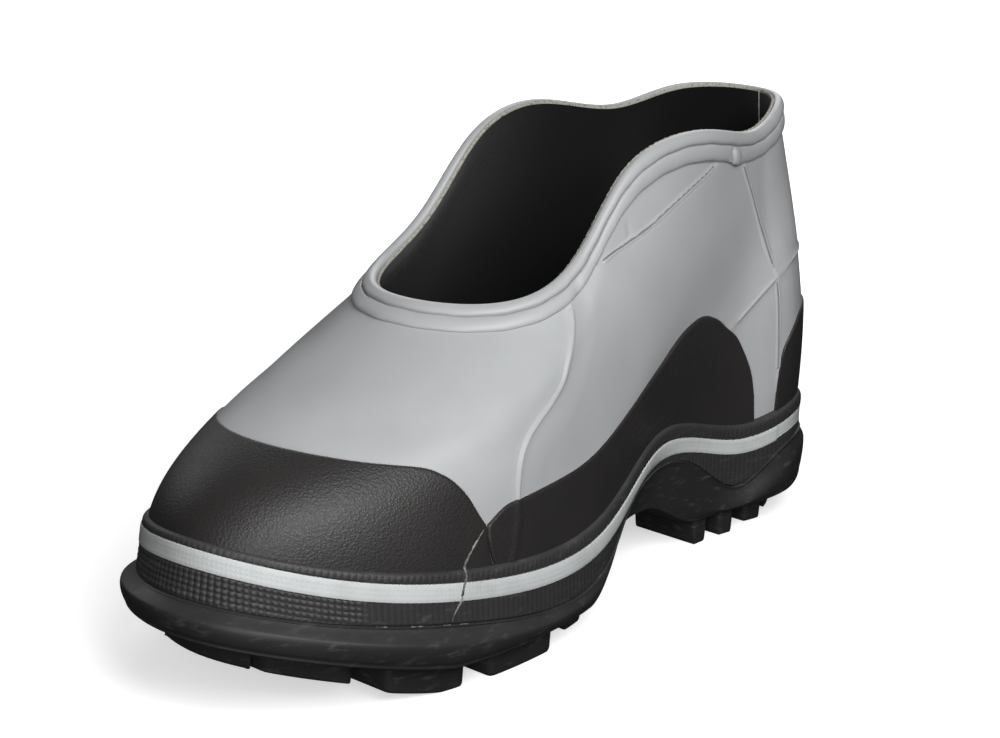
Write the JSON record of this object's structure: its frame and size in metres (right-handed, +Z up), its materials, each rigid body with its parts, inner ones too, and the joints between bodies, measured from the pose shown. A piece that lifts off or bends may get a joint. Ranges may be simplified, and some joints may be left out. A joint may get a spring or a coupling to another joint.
{
  "type": "dielectric overshoe",
  "caption": "Low slip-on rubber overshoe for the right foot: hollow grey upper with a flared collar, grained black toe, side and heel overlays, striped foxing and a lugged black outsole.",
  "frame": {"origin": "centre of the outsole's plan box, on the floor", "axes": "+Y to the toe, +X to the wearer's outer (lateral) side, +Z up"},
  "size_m": [0.1348, 0.3282, 0.1617],
  "materials": {
    "black_rubber": "matt",
    "grained_black_rubber": "pebbled satin",
    "grey_rubber": "satin",
    "white_rubber": "satin",
    "dark_textile": "matt knit"
  },
  "bodies": {
    "root": {"outsole": "black_rubber", "insole": "dark_textile", "upper": "grey_rubber", "toe_cap": "grained_black_rubber", "side_guard_medial": "grained_black_rubber", "side_guard_lateral": "grained_black_rubber", "heel_counter": "grained_black_rubber", "collar_band": "grey_rubber", "foxing_band": "black_rubber", "white_stripe": "white_rubber"}
  },
  "joints": []
}
